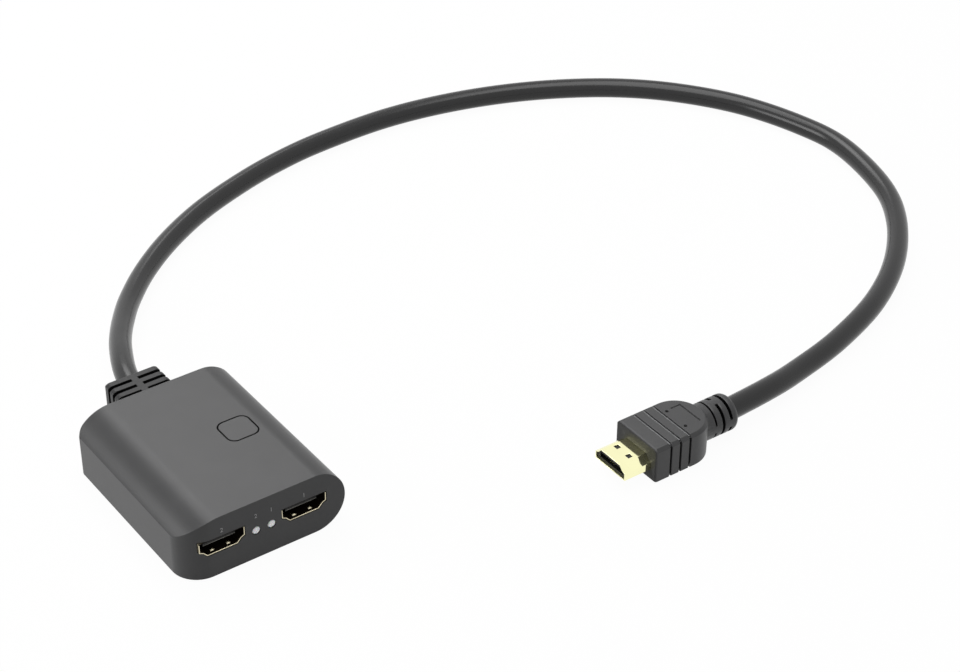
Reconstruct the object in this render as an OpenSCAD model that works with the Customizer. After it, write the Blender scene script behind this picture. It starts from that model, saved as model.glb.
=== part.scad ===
// Two-input video switch box with a select button, two status lights and a captive output cable.
// The origin is on the table under the middle of the box.
// +Z is up, the sockets face -Y and the cable leaves at +Y.
// All lengths are in millimetres.

/* [Housing] */
// Width of the box from the flat left wall to the round right side
body_w = 52; // [50:1:60]
// Depth of the box from the front face to the rear face
body_d = 64; // [62:1:80]
// Height of the box, which is also the diameter of the round right side
body_h = 20; // [19.5:0.5:23]
// Thickness of the cover walls
wall = 2; // [1.6:0.1:2.2]
// Radius of the shoulder that bends the top down to the left wall
shoulder_r = 13; // [12:0.5:16]
// Drop of the shoulder where it meets the left wall in a crease
crease_drop = 6.5; // [5:0.5:7.5]
// Plan radius of the front left corner
front_corner_r = 8.5; // [6:0.5:10]
// Plan radius of the rear left corner
rear_corner_r = 2.5; // [2.5:0.5:6]
// Gap along the seam between the two covers
seam_gap = 0.15; // [0.1:0.05:0.3]

/* [Sockets] */
// Distance between the centres of the two sockets
socket_pitch = 26.6; // [25:0.2:29]
// Share of the spare inner width that lies left of the sockets
socket_share = 0.42; // [0.3:0.01:0.6]
// Height of the socket centres
socket_z = 10.5; // [10:0.1:11.5]
// Width of the socket mouth
mouth_w = 14; // [13.9:0.05:14.2]
// Height of the socket mouth
mouth_h = 4.55; // [4.5:0.05:4.8]
// Width of the slanted corners at the bottom of the mouth
mouth_cut_w = 2.3; // [1.8:0.1:2.6]
// Height of the slanted corners at the bottom of the mouth
mouth_cut_h = 1.85; // [1.6:0.05:2.4]
// Distance of the step in the slanted corners from the side of the mouth
mouth_step_w = 1.15; // [1:0.05:1.3]
// Height of the step in the slanted corners above the bottom of the mouth
mouth_step_h = 1.3; // [1.1:0.05:1.4]
// Thickness of the metal of the socket and plug shells
shell_t = 0.3; // [0.2:0.05:0.35]
// Length of the socket shell
socket_l = 11; // [10:0.5:12]
// Distance of the shell's rim behind the front face
socket_recess = 0.2; // [0.1:0.1:0.8]
// Gap round the shell in the front wall
socket_gap = 0.12; // [0.1:0.02:0.2]
// Width of the socket tongue
tongue_w = 10.4; // [10:0.1:11.4]
// Thickness of the socket tongue
tongue_t = 1.3; // [1.1:0.1:1.5]
// Height of the tongue above the middle of the mouth
tongue_lift = 0.45; // [0.2:0.05:0.6]
// Distance of the tongue's tip behind the shell's rim
tongue_recess = 1.8; // [0.8:0.1:2]
// Thickness of the block behind the tongue
socket_block_l = 3; // [2:0.5:4]
// Distance between the two retaining springs in the bottom of the mouth
spring_pitch = 5.3; // [4.8:0.1:5.8]
// Width of each retaining spring
spring_w = 1.3; // [1:0.1:1.6]
// Height of each retaining spring above the bottom of the mouth
spring_h = 0.45; // [0.3:0.05:0.6]
// Width of each contact strip
contact_w = 0.4; // [0.3:0.05:0.45]
// Thickness of each contact strip
contact_t = 0.2; // [0.15:0.05:0.25]
// Distance from one contact to the next in a row
contact_pitch = 1; // [0.95:0.05:1.05]

/* [Status lights] */
// Diameter of the front of a light lens
lens_d = 2.6; // [2:0.1:3.2]
// Distance between the two lenses
lens_pitch = 5; // [4.6:0.1:5.4]
// Distance of the middle of the lenses to the right of the middle of the sockets
lens_shift = 0.1; // [-0.4:0.1:0.8]
// Height of the lenses
lens_z = 9.7; // [9.4:0.1:10.4]
// Thickness of the collar behind the front wall
lens_collar_t = 0.8; // [0.5:0.1:1.2]
// Height of the light source on the board
led_h = 4; // [3.6:0.2:5]
// Depth of the light source
led_d = 2.2; // [1.6:0.2:3]

/* [Button] */
// Side length of the square button
button_w = 9.6; // [8.6:0.2:10.4]
// Corner radius of the button
button_r = 2.4; // [1.6:0.2:3]
// Gap round the button in the top
button_gap = 0.45; // [0.2:0.05:0.6]
// Sideways place of the button
button_x = 10.1; // [9:0.1:10.4]
// Place of the button along the depth
button_y = -0.3; // [-2:0.1:2]
// Travel of the button
button_travel = 0.4; // [0.25:0.05:0.45]
// Width of the rim that holds the button under the top
button_rim = 0.9; // [0.6:0.1:1]
// Thickness of that rim
button_rim_t = 1; // [0.8:0.1:1.4]
// Diameter of the stem under the button
button_stem_d = 5; // [4:0.5:6]
// Side length of the push switch under the button
switch_w = 6; // [5.6:0.2:6.4]
// Height of the push switch's plastic base
switch_h = 3; // [2.8:0.1:3.6]
// Diameter of the push switch's plunger
plunger_d = 3.4; // [3:0.1:3.6]
// Height of the plunger above the switch's cover plate
plunger_rise = 1.5; // [1.2:0.1:2]
// Rest gap between pieces that press on each other
press_gap = 0.06; // [0.04:0.01:0.1]

/* [Board] */
// Thickness of the circuit board
board_t = 1.6; // [1.2:0.2:2]
// Depth of the circuit board
board_d = 52; // [50:1:54]
// Gap between the board's edge and the walls
board_gap = 0.5; // [0.3:0.1:0.8]
// Height of the socket centres above the board
socket_rise = 3.1; // [3:0.1:3.6]
// Side length of the switching chip
chip_w = 9; // [7:0.5:10]
// Height of the switching chip
chip_h = 0.9; // [0.7:0.1:1.4]

/* [Screws] */
// Diameter of the screw shanks
screw_d = 2; // [1.8:0.1:2.4]
// Length of the screw shanks
screw_l = 11; // [9:0.5:12]
// Diameter of the screw heads
head_d = 4; // [3.4:0.1:4.2]
// Height of the screw heads
head_h = 1.4; // [1:0.1:1.6]
// Depth of the screw heads in the bottom
head_sink = 0.6; // [0.4:0.1:1]
// Outer diameter of the screw bosses and pillars
boss_d = 5.6; // [5.2:0.1:6]
// Gap round the shank in the bottom and the board
shank_gap = 0.2; // [0.1:0.05:0.3]

/* [Strain relief] */
// Width of the rear strain relief at its far end
relief_w = 17.5; // [15:0.5:18]
// Extra width of the strain relief at the box
relief_flare = 1.2; // [0:0.2:2]
// Height of the strain relief
relief_h = 9; // [8.4:0.2:10]
// Length of the strain relief behind the box
relief_l = 14.5; // [14:0.5:16]
// Height of the middle of the strain relief
relief_z = 11; // [10.6:0.1:11.4]
// Radius of the long edges of the strain relief
relief_r = 2.2; // [1.4:0.2:3]
// Width of the neck that sits in the rear wall
neck_w = 12; // [10:0.5:13]
// Height of that neck
neck_h = 7; // [6:0.2:7.4]
// Length of the collar inside the rear wall
collar_l = 2; // [1.5:0.5:3]
// Number of slot rows
relief_rows = 3; // [2:1:3]
// Distance from one slot row to the next
relief_pitch = 3.2; // [2.8:0.1:3.6]
// Width of each slot
slot_w = 1.3; // [0.8:0.1:1.4]
// Depth of each slot
slot_deep = 1.2; // [0.6:0.1:1.2]
// Width of the web that parts the slots in the middle
web_w = 2.2; // [1.6:0.2:3]

/* [Cable] */
// Diameter of the cable
cable_d = 7.2; // [6.6:0.1:7.4]
// Number of insulated wires soldered to the board
wire_count = 10; // [6:1:10]
// Diameter of each insulated wire
wire_d = 1; // [0.8:0.1:1.1]
// Distance from one wire to the next
wire_pitch = 1.25; // [1.15:0.05:1.4]
// Length of each wire that lies on the board
wire_seat = 3.5; // [2:0.5:4]

/* [Plug] */
// Width of the plug's shell
plug_w = 13.9; // [13.8:0.05:13.9]
// Height of the plug's shell
plug_h = 4.45; // [4.4:0.05:4.45]
// Length of the shell in front of the grip
plug_l = 9.6; // [9:0.2:12]
// Length of the shell inside the grip
plug_root = 4; // [3:0.5:5]
// Distance of the shell's middle below the middle of the grip
plug_drop = 0; // [0:0.1:0.6]
// Side of the square latch holes in the shell
latch_w = 1.7; // [1:0.1:1.8]
// Distance between the latch holes
latch_pitch = 5.4; // [4.6:0.2:6]
// Distance of the latch holes in front of the grip
latch_x = 4.8; // [3.6:0.2:5]
// Width of the moulded grip
grip_w = 19; // [17.5:0.5:20]
// Height of the moulded grip
grip_h = 12; // [11.8:0.2:13]
// Length of the straight part of the grip before its round end
grip_l = 15; // [14:0.5:18]
// Width of the slanted edges on top of the grip
grip_edge = 1; // [0.6:0.1:1.2]
// Width of the slanted edges under the grip
grip_foot = 0.4; // [0.2:0.1:0.8]
// Distance of the first grip groove from the front
groove_x = 5.6; // [5:0.2:6]
// Distance from one grip groove to the next
groove_pitch = 3.6; // [3.2:0.1:3.8]
// Width of each grip groove
groove_w = 0.8; // [0.6:0.1:1]
// Depth of each grip groove
groove_deep = 0.5; // [0.3:0.1:0.6]
// Diameter of the two dots in the top of the grip
dot_d = 1.1; // [0.6:0.1:1.2]
// Distance between the two dots
dot_pitch = 8.7; // [7:0.2:10]
// Width of the fine line in the top of the grip
line_w = 0.5; // [0.2:0.05:0.6]
// Depth of the dots and of the fine line
mark_deep = 0.45; // [0.2:0.05:0.5]
// Diameter of the round tail behind the grip
tail_d = 11.6; // [11:0.1:11.8]
// Diameter of the tail at its far end
tail_end_d = 11.8; // [11:0.1:11.8]
// Distance from the grip's front to the tail's end
tail_x = 35.3; // [35:0.1:42]
// Radius of the tail's round end
tail_round = 1.8; // [1:0.1:1.9]
// Diameter of the core left between the tail's slots
tail_core_d = 9; // [8:0.1:9.4]

/* [Hidden] */
$fn = 64;
// Overlap that makes cuts clean
cut = 1;
// Round right side
right_r = body_h / 2;
right_x = body_w / 2 - right_r;
// Left shoulder
shoulder_z = body_h - shoulder_r;
shoulder_x = -body_w / 2 + sqrt(pow(shoulder_r, 2) - pow(shoulder_r - crease_drop, 2));
// Inner faces
front_y = -body_d / 2;
rear_y = body_d / 2;
inner_front_y = front_y + wall;
inner_rear_y = rear_y - wall;
ceiling_z = body_h - wall;
// Sockets, set between the inner faces of the left wall and the round right side
socket_low = socket_z - right_r - mouth_h / 2 - shell_t;
socket_high = socket_z - right_r + mouth_h / 2 + shell_t;
inner_left_x = -body_w / 2 + wall;
inner_right_x = right_x + sqrt(pow(right_r - wall, 2) - pow(max(socket_high, -socket_low), 2));
socket_span = socket_pitch + mouth_w + 2 * shell_t;
socket_spare = inner_right_x - inner_left_x - socket_span;
socket_mid_x = inner_left_x + socket_share * socket_spare + socket_span / 2;
socket_x = [socket_mid_x + socket_pitch / 2, socket_mid_x - socket_pitch / 2];
rim_y = front_y + socket_recess;
block_y = rim_y + socket_l - socket_block_l;
tail_y = rim_y + socket_l;
tongue_z = socket_z + tongue_lift;
contact_rows = [[10, 1], [9, -1]];
contact_foot_l = 1;
contact_tip = 0.6;
socket_foot_l = 1.4;
leg_w = 1.6;
leg_places = [5, 9];
leg_reach = 0.6;
leg_gap = 0.1;
spring_y = rim_y + 1.75;
spring_r = 0.9;
// Board
board_top = socket_z - socket_rise;
board_z = board_top - board_t;
board_y = inner_front_y + board_gap;
board_rear_y = board_y + board_d;
board_right_x = right_x + sqrt(pow(right_r - wall, 2) - pow(right_r - board_z, 2)) - board_gap;
// Screw bosses, seen from above
boss_edge = 6.6;
boss_offset = 1;
boss_margin = 4;
boss_left_x = -body_w / 2 + boss_edge;
boss_right_x = right_x + boss_offset;
boss_rear_y = board_rear_y - boss_margin;
boss_front_y = tail_y + boss_d / 2 + boss_margin;
boss_places = [for (x = [boss_left_x, boss_right_x], y = [boss_front_y, boss_rear_y]) [x, y]];
head_seat_z = head_sink + head_h;
screw_tip_gap = 0.5;
cross_l = 2.4;
cross_w = 0.5;
// Small parts on the board, seen from above
part_count = 6;
resistor_pitch = 2;
resistor_size = [0.8, 1.6, 0.5];
resistor_gap = 1.6;
capacitor_pitch = 4;
capacitor_size = [0.8, 1.6, 0.8];
capacitor_gap = 1.2;
chip_side = 6;
chip_back = 4.5;
crystal_size = [2.5, 3.2, 0.8];
crystal_gap = 2.5;
regulator_size = [6.5, 3.5, 1.6];
regulator_gap = 1.5;
// Push switch
cover_t = 0.3;
plate_z = board_top + switch_h;
plunger_top = plate_z + cover_t + plunger_rise;
plunger_rim = 0.35;
plunger_rim_t = 0.6;
plunger_gap = 0.1;
well_floor = board_top + switch_h / 2;
well_gap = 0.25;
well_d = plunger_d + 2 * (plunger_rim + well_gap);
dome_t = 0.12;
dome_gap = 0.15;
dome_base_r = well_d / 2 - dome_gap;
plunger_low = plate_z - press_gap - plunger_rim_t;
dome_h = plunger_low - press_gap - well_floor;
dome_r = (pow(dome_base_r, 2) + pow(dome_h, 2)) / (2 * dome_h);
terminal_l = 1.1;
terminal_w = 0.8;
terminal_t = 0.25;
terminal_pitch = 4.5;
// Status lights
lens_mid_x = socket_mid_x + lens_shift;
lens_x = [lens_mid_x + lens_pitch / 2, lens_mid_x - lens_pitch / 2];
lens_gap = 0.08;
lens_collar_rim = 0.5;
lens_collar_d = lens_d + 2 * lens_collar_rim;
led_w = 3;
led_y = inner_front_y + lens_collar_t + press_gap;
// Strain relief
relief_end_y = rear_y + relief_l;
neck_gap = 0.12;
collar_margin = 1;
row_from_end = 2.7;
wire_y = board_rear_y - wire_seat;
// Plug, placed where it lies on the table
cable_exit = [0, relief_end_y, 0];
plug_place = cable_exit + [108.8, -107.5, 0];
grip_mid = grip_h / 2;
shell_mid = grip_mid - plug_drop;
grip_end_x = grip_l + grip_w / 2;
core_gap = 0.05;
core_w = 12;
core_h = 7;
core_l = 14;
insulator_recess = 0.7;
insulator_tail = 2;
insulator_back = plug_root + insulator_tail;
slot_gap = 0.25;
slot_floor = 1.5;
plug_contact_tip = 0.8;
groove_count = 3;
mark_shift = -0.3;
dot_x = grip_l - 0.3;
line_x = grip_l + 1.5;
line_l = 3.75;
line_y = 4.75;
tail_slots = [1, 1, 0.6];
tail_row_pitch = 2.9;
tail_row_margin = 3.3;
tail_web_w = 2.6;
// Route of the cable from inside the strain relief into the plug's tail, counted from the cable's exit
cable_lift = 0.05;
cable_z = cable_d / 2 + cable_lift;
tail_place = plug_place + [tail_x, 0, grip_mid];
cable_points = [
    [-0.5, -5, relief_z],
    [0, 0, relief_z],
    [2, 8, 10.9],
    [5.5, 17, 10],
    [10.5, 27.5, 8.3],
    [17.5, 39, 6.3],
    [26, 50.5, 4.8],
    [38.5, 63.5, 3.9],
    [54, 75.5, cable_z],
    [72.5, 86, cable_z],
    [93, 94, cable_z],
    [111, 99, cable_z],
    [130, 102, cable_z],
    [157, 103, cable_z],
    [181, 100, cable_z],
    [204, 93.5, cable_z],
    [225, 84, cable_z],
    [244, 71.5, cable_z],
    [259.5, 56, cable_z],
    [272.5, 36, cable_z],
    [280.5, 12.5, cable_z],
    [282.5, -8.5, cable_z],
    [275.5, -36, cable_z],
    [264, -55.5, cable_z],
    [246, -73.5, cable_z],
    [224, -87.5, cable_z],
    [199, -97, cable_z],
    [176.5, -102.5, 4.1],
    [162, -105.5, 5.2]
];
cable_route = [for (p = cable_points) cable_exit + p, tail_place, tail_place - [5, 0.5, 0]];
cable_steps = 2;
cable_sides = 12;

// Outward normal of the edge from a to b, on an outline that runs clockwise
function outward(a, b) = let (d = (b - a) / norm(b - a)) [-d[1], d[0]];

// Corner p between edges with normals n and m, grown outwards by g
function grown(p, n, m, g) = p + g * (n + m) / (1 + n * m);

// Points of a mouth outline that is wide at the top and has stepped lower corners, grown outwards by g
function mouth_points(w, h, g) =
    let (
        x = w / 2,
        y = h / 2,
        a = [x, mouth_cut_h - y],
        b = [x - mouth_step_w, mouth_step_h - y],
        c = [x - mouth_cut_w, -y],
        ab = outward(a, b),
        bc = outward(b, c),
        half = [[x + g, y + g], grown(a, [1, 0], ab, g), grown(b, ab, bc, g), grown(c, bc, [0, -1], g)]
    )
    concat(half, [for (i = [3 : -1 : 0]) [-half[i][0], half[i][1]]]);

// Point at share t of a smooth curve from b to c, with neighbours a and d
function spline(a, b, c, d, t) =
    0.5 * (2 * b + (c - a) * t + (2 * a - 5 * b + 4 * c - d) * t * t + (3 * b - a - 3 * c + d) * t * t * t);

function clamp_index(i, n) = max(0, min(n - 1, i));

// All ring centres of a tube along a route
function smooth_route(p, steps) =
    let (n = len(p))
    [for (i = [0 : n - 2], s = [0 : steps - 1])
        spline(p[clamp_index(i - 1, n)], p[i], p[i + 1], p[clamp_index(i + 2, n)], s / steps),
     p[n - 1]];

function unit(v) = v / norm(v);

function tangent(p, i) =
    let (n = len(p))
    i == 0 ? unit(p[1] - p[0]) : i == n - 1 ? unit(p[n - 1] - p[n - 2]) : unit(p[i + 1] - p[i - 1]);

function ring(p, i, r, sides) =
    let (t = tangent(p, i), across = unit(cross(t, [0, 0, 1])), over = cross(across, t))
    [for (k = [0 : sides - 1]) p[i] + r * (cos(360 * k / sides) * across + sin(360 * k / sides) * over)];

// Closed tube along a list of ring centres
module tube(p, r, sides) {
    n = len(p);
    points = [for (i = [0 : n - 1]) each ring(p, i, r, sides)];
    walls = [for (i = [0 : n - 2], k = [0 : sides - 1])
        let (a = i * sides + k, b = i * sides + (k + 1) % sides)
        each [[a, b, a + sides], [b, b + sides, a + sides]]];
    start = [for (k = [sides - 1 : -1 : 0]) k];
    end = [for (k = [0 : sides - 1]) (n - 1) * sides + k];
    polyhedron(points = points, faces = concat([start], walls, [end]));
}

// Rectangle with round corners about the origin
module round_rect(w, h, r) {
    square([w - 2 * r, h], center = true);
    square([w, h - 2 * r], center = true);
    for (x = [-1, 1], y = [-1, 1]) {
        translate([x * (w / 2 - r), y * (h / 2 - r)]) circle(r);
    }
}

// Stands a drawing in the XZ plane and runs it along Y from y0 to y1
module along_y(y0, y1) {
    translate([0, y1, 0]) rotate([90, 0, 0]) linear_extrude(y1 - y0) children();
}

// Section of the box seen from the front, drawn in by inset
module side_section(inset) {
    left = -body_w / 2 + inset;
    outside = -body_w / 2 - cut;
    difference() {
        union() {
            translate([right_x, body_h / 2]) circle(right_r - inset);
            translate([left, inset]) square([right_x - left, body_h - 2 * inset]);
        }
        difference() {
            translate([outside, shoulder_z]) square([shoulder_x - outside, shoulder_r + cut]);
            translate([shoulder_x, shoulder_z]) circle(shoulder_r - inset);
        }
    }
}

// Outline of the box seen from above, drawn in by inset; the right side is left to the section
module plan_outline(inset, right) {
    fr = front_corner_r - inset;
    rr = max(0, rear_corner_r - inset);
    left = -body_w / 2 + inset;
    front = front_y + inset;
    rear = rear_y - inset;
    translate([left, front + fr]) square([right - left, rear - rr - front - fr]);
    translate([left + fr, front + fr]) circle(fr);
    translate([left + fr, front]) square([right - left - fr, fr]);
    if (rr > 0) {
        translate([left + rr, rear - rr]) circle(rr);
        translate([left + rr, rear - rr]) square([right - left - rr, rr]);
    }
}

module box_solid(inset) {
    intersection() {
        along_y(front_y - cut, rear_y + cut) side_section(inset);
        linear_extrude(body_h + cut) plan_outline(inset, body_w);
    }
}

// Space of the bottom cover: the floor and the lower right quarter, kept clear of the seam by gap
module bottom_space(gap) {
    intersection() {
        along_y(front_y - cut, rear_y + cut) {
            translate([-body_w, -cut]) square([body_w + right_x, wall + cut]);
            translate([right_x - wall, -cut]) square([body_w, body_h / 2 + cut - gap]);
        }
        translate([0, 0, -cut]) linear_extrude(body_h + 2 * cut) plan_outline(wall + gap, body_w);
    }
}

module at_bosses() {
    for (p = boss_places) {
        translate([p[0], p[1], 0]) children();
    }
}

module socket_cut(x) {
    translate([x, 0, socket_z]) along_y(front_y - cut, front_y + front_corner_r) {
        polygon(mouth_points(mouth_w, mouth_h, shell_t + socket_gap));
    }
}

module button_outline(grow) {
    round_rect(button_w + 2 * grow, button_w + 2 * grow, button_r + grow);
}

// Slot in the rear wall, open at the bottom, that takes the neck of the strain relief
module neck_slot(gap, low) {
    translate([-neck_w / 2 - gap, inner_rear_y - cut, low]) {
        cube([neck_w + 2 * gap, wall + 2 * cut, relief_z + neck_h / 2 + gap - low]);
    }
}

module top_cover() {
    color("#636466") difference() {
        union() {
            difference() {
                box_solid(0);
                box_solid(wall);
                bottom_space(0);
            }
            intersection() {
                at_bosses() translate([0, 0, board_top]) cylinder(d = boss_d, h = body_h);
                box_solid(wall / 2);
            }
        }
        for (x = socket_x) {
            socket_cut(x);
        }
        for (x = lens_x) {
            translate([x, 0, lens_z]) along_y(front_y - cut, inner_front_y + cut) {
                circle(d = lens_d + 2 * lens_gap);
            }
        }
        translate([button_x, button_y, ceiling_z - cut]) {
            linear_extrude(wall + 2 * cut) button_outline(button_gap);
        }
        neck_slot(neck_gap, -cut);
        at_bosses() translate([0, 0, board_top - cut]) {
            cylinder(d = screw_d, h = head_seat_z + screw_l + screw_tip_gap - board_top + cut);
        }
    }
}

module bottom_cover() {
    sill_top = relief_z - neck_h / 2 - neck_gap;
    step_top = relief_z - neck_h / 2 - collar_margin - neck_gap;
    color("#58595b") difference() {
        union() {
            intersection() {
                bottom_space(seam_gap);
                difference() {
                    box_solid(0);
                    box_solid(wall);
                }
            }
            at_bosses() translate([0, 0, wall / 2]) cylinder(d = boss_d, h = board_z - wall / 2);
            translate([seam_gap - neck_w / 2, inner_rear_y, 0]) cube([neck_w - 2 * seam_gap, wall, sill_top]);
            translate([seam_gap - neck_w / 2, inner_rear_y - wall, 0]) {
                cube([neck_w - 2 * seam_gap, 2 * wall, step_top]);
            }
        }
        at_bosses() {
            translate([0, 0, -cut]) cylinder(d = screw_d + 2 * shank_gap, h = board_z + 2 * cut);
            translate([0, 0, -cut]) cylinder(d = head_d + 2 * shank_gap, h = head_seat_z + cut);
        }
    }
}

module housing_screws() {
    color("#3a3b3d") at_bosses() {
        difference() {
            union() {
                translate([0, 0, head_sink]) cylinder(d = head_d, h = head_h);
                translate([0, 0, head_seat_z]) cylinder(d = screw_d, h = screw_l);
            }
            for (turn = [0, 90]) {
                rotate(turn) translate([-cross_l / 2, -cross_w / 2, head_sink - cut]) {
                    cube([cross_l, cross_w, head_h / 2 + cut]);
                }
            }
        }
    }
}

module circuit_board() {
    color("#1f5a38") difference() {
        translate([0, 0, board_z]) linear_extrude(board_t) intersection() {
            plan_outline(wall + board_gap, board_right_x);
            translate([-body_w, board_y]) square([2 * body_w, board_d]);
        }
        at_bosses() cylinder(d = screw_d + 2 * shank_gap, h = body_h);
        for (x = socket_x) {
            at_legs(x) leg_block(leg_gap);
        }
    }
}

module select_button() {
    rim_top = ceiling_z - press_gap;
    rim_low = rim_top - button_rim_t;
    stem_low = plunger_top + press_gap;
    color("#68696b") translate([button_x, button_y, 0]) {
        translate([0, 0, rim_low]) linear_extrude(body_h - rim_low) button_outline(0);
        translate([0, 0, rim_low]) linear_extrude(button_rim_t) button_outline(button_gap + button_rim);
        translate([0, 0, stem_low]) cylinder(d = button_stem_d, h = rim_low + cut / 2 - stem_low);
    }
}

module switch_base() {
    color("#202124") translate([button_x, button_y, 0]) difference() {
        translate([-switch_w / 2, -switch_w / 2, board_top]) cube([switch_w, switch_w, switch_h]);
        translate([0, 0, well_floor]) cylinder(d = well_d, h = switch_h);
    }
}

module switch_plate() {
    color("#b9bcc0") translate([button_x, button_y, plate_z]) difference() {
        translate([-switch_w / 2, -switch_w / 2, 0]) cube([switch_w, switch_w, cover_t]);
        translate([0, 0, -cut]) cylinder(d = plunger_d + 2 * plunger_gap, h = cover_t + 2 * cut);
    }
}

module switch_plunger() {
    color("#2a2b2e") translate([button_x, button_y, plunger_low]) {
        cylinder(d = plunger_d, h = plunger_top - plunger_low);
        cylinder(d = plunger_d + 2 * plunger_rim, h = plunger_rim_t);
    }
}

module switch_dome() {
    color("#c9ccd0") translate([button_x, button_y, well_floor]) intersection() {
        translate([0, 0, dome_h - dome_r]) difference() {
            sphere(dome_r);
            sphere(dome_r - dome_t);
        }
        cylinder(r = well_d, h = dome_h + cut);
    }
}

module switch_terminals() {
    color("#c9ccd0") translate([button_x, button_y, board_top]) {
        for (x = [-1, 1], y = [-1, 1]) {
            translate([x * (switch_w + terminal_l) / 2, y * terminal_pitch / 2, terminal_t / 2]) {
                cube([terminal_l, terminal_w, terminal_t], center = true);
            }
        }
    }
}

module lens(x) {
    color("#d8dadc") translate([x, 0, lens_z]) {
        along_y(front_y, inner_front_y + lens_collar_t) circle(d = lens_d);
        along_y(inner_front_y, inner_front_y + lens_collar_t) circle(d = lens_collar_d);
    }
}

module light_lens_1() {
    lens(lens_x[0]);
}

module light_lens_2() {
    lens(lens_x[1]);
}

module light_sources() {
    color("#e6e4d8") for (x = lens_x) {
        translate([x - led_w / 2, led_y, board_top]) cube([led_w, led_d, led_h]);
    }
}

// Places of the four solder legs of the socket at x
module at_legs(x) {
    for (side = [-1, 1], place = leg_places) {
        translate([x + side * (mouth_w + shell_t) / 2, rim_y + place, 0]) children();
    }
}

module leg_block(gap) {
    low = board_z - leg_reach - gap;
    translate([-shell_t / 2 - gap, -leg_w / 2 - gap, low]) {
        cube([shell_t + 2 * gap, leg_w + 2 * gap, socket_z + mouth_h / 4 - low]);
    }
}

module socket_shell(x) {
    color("#d9c27a") {
        translate([x, 0, socket_z]) along_y(rim_y, tail_y) difference() {
            polygon(mouth_points(mouth_w, mouth_h, shell_t));
            polygon(mouth_points(mouth_w, mouth_h, 0));
        }
        at_legs(x) leg_block(0);
        for (side = [-1, 1]) {
            translate([x + side * spring_pitch / 2, spring_y, socket_z - mouth_h / 2]) retaining_spring();
        }
    }
}

// Bump of spring metal that stands up from the bottom of the mouth
module retaining_spring() {
    intersection() {
        translate([-spring_w / 2, 0, spring_h - spring_r]) rotate([0, 90, 0]) {
            cylinder(r = spring_r, h = spring_w);
        }
        translate([-spring_w, -spring_r, -shell_t / 2]) {
            cube([2 * spring_w, 2 * spring_r, spring_h + shell_t]);
        }
    }
}

module socket_block(x) {
    foot_w = mouth_w - 2 * mouth_cut_w;
    color("#17181a") difference() {
        union() {
            translate([x, 0, socket_z]) along_y(block_y, tail_y) polygon(mouth_points(mouth_w, mouth_h, 0));
            translate([x - tongue_w / 2, rim_y + tongue_recess, tongue_z - tongue_t / 2]) {
                cube([tongue_w, block_y + cut / 2 - rim_y - tongue_recess, tongue_t]);
            }
            translate([x - foot_w / 2, tail_y, board_top]) {
                cube([foot_w, socket_foot_l, socket_z + mouth_h / 2 - board_top]);
            }
        }
        contact_set(x);
    }
}

// Strips on both faces of the tongue, each with a tail that stands on the board
module contact_set(x) {
    tip_y = rim_y + tongue_recess + contact_tip;
    bend_y = tail_y + socket_foot_l;
    for (row = contact_rows, i = [0 : row[0] - 1]) {
        strip_x = x + (i - (row[0] - 1) / 2) * contact_pitch - contact_w / 2;
        strip_z = tongue_z + row[1] * (tongue_t / 2 + contact_t / 2) - contact_t / 2;
        translate([strip_x, tip_y, strip_z]) cube([contact_w, bend_y + contact_t - tip_y, contact_t]);
        translate([strip_x, bend_y, board_top]) cube([contact_w, contact_t, strip_z + contact_t - board_top]);
        translate([strip_x, bend_y, board_top]) cube([contact_w, contact_foot_l, contact_t]);
    }
}

module socket_1_shell() {
    socket_shell(socket_x[0]);
}

module socket_1_block() {
    socket_block(socket_x[0]);
}

module socket_1_contacts() {
    color("#e3c766") contact_set(socket_x[0]);
}

module socket_2_shell() {
    socket_shell(socket_x[1]);
}

module socket_2_block() {
    socket_block(socket_x[1]);
}

module socket_2_contacts() {
    color("#e3c766") contact_set(socket_x[1]);
}

module on_board(x, y, size) {
    translate([x - size[0] / 2, y - size[1] / 2, board_top]) cube(size);
}

module switch_chip() {
    color("#1a1b1d") on_board(socket_mid_x - chip_side, button_y - chip_back, [chip_w, chip_w, chip_h]);
}

module power_regulator() {
    x = boss_left_x + boss_d / 2 + regulator_gap + regulator_size[0] / 2;
    color("#232427") on_board(x, boss_rear_y, regulator_size);
}

module clock_crystal() {
    x = socket_mid_x - chip_side - chip_w / 2 - crystal_gap;
    color("#c4c7ca") on_board(x, button_y - chip_back, crystal_size);
}

module capacitors() {
    y = button_y + switch_w / 2 + capacitor_gap + capacitor_size[1] / 2;
    color("#a98a63") for (i = [0 : part_count - 1]) {
        on_board(socket_mid_x + (i - (part_count - 1) / 2) * capacitor_pitch, y, capacitor_size);
    }
}

module resistors() {
    y = button_y - chip_back - chip_w / 2 - resistor_gap - resistor_size[1] / 2;
    color("#26282b") for (i = [0 : part_count - 1]) {
        on_board(socket_mid_x - chip_side + (i - (part_count - 1) / 2) * resistor_pitch, y, resistor_size);
    }
}

module relief_section(inset) {
    round_rect(relief_w + relief_flare - 2 * inset, relief_h - 2 * inset, relief_r - inset);
}

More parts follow.
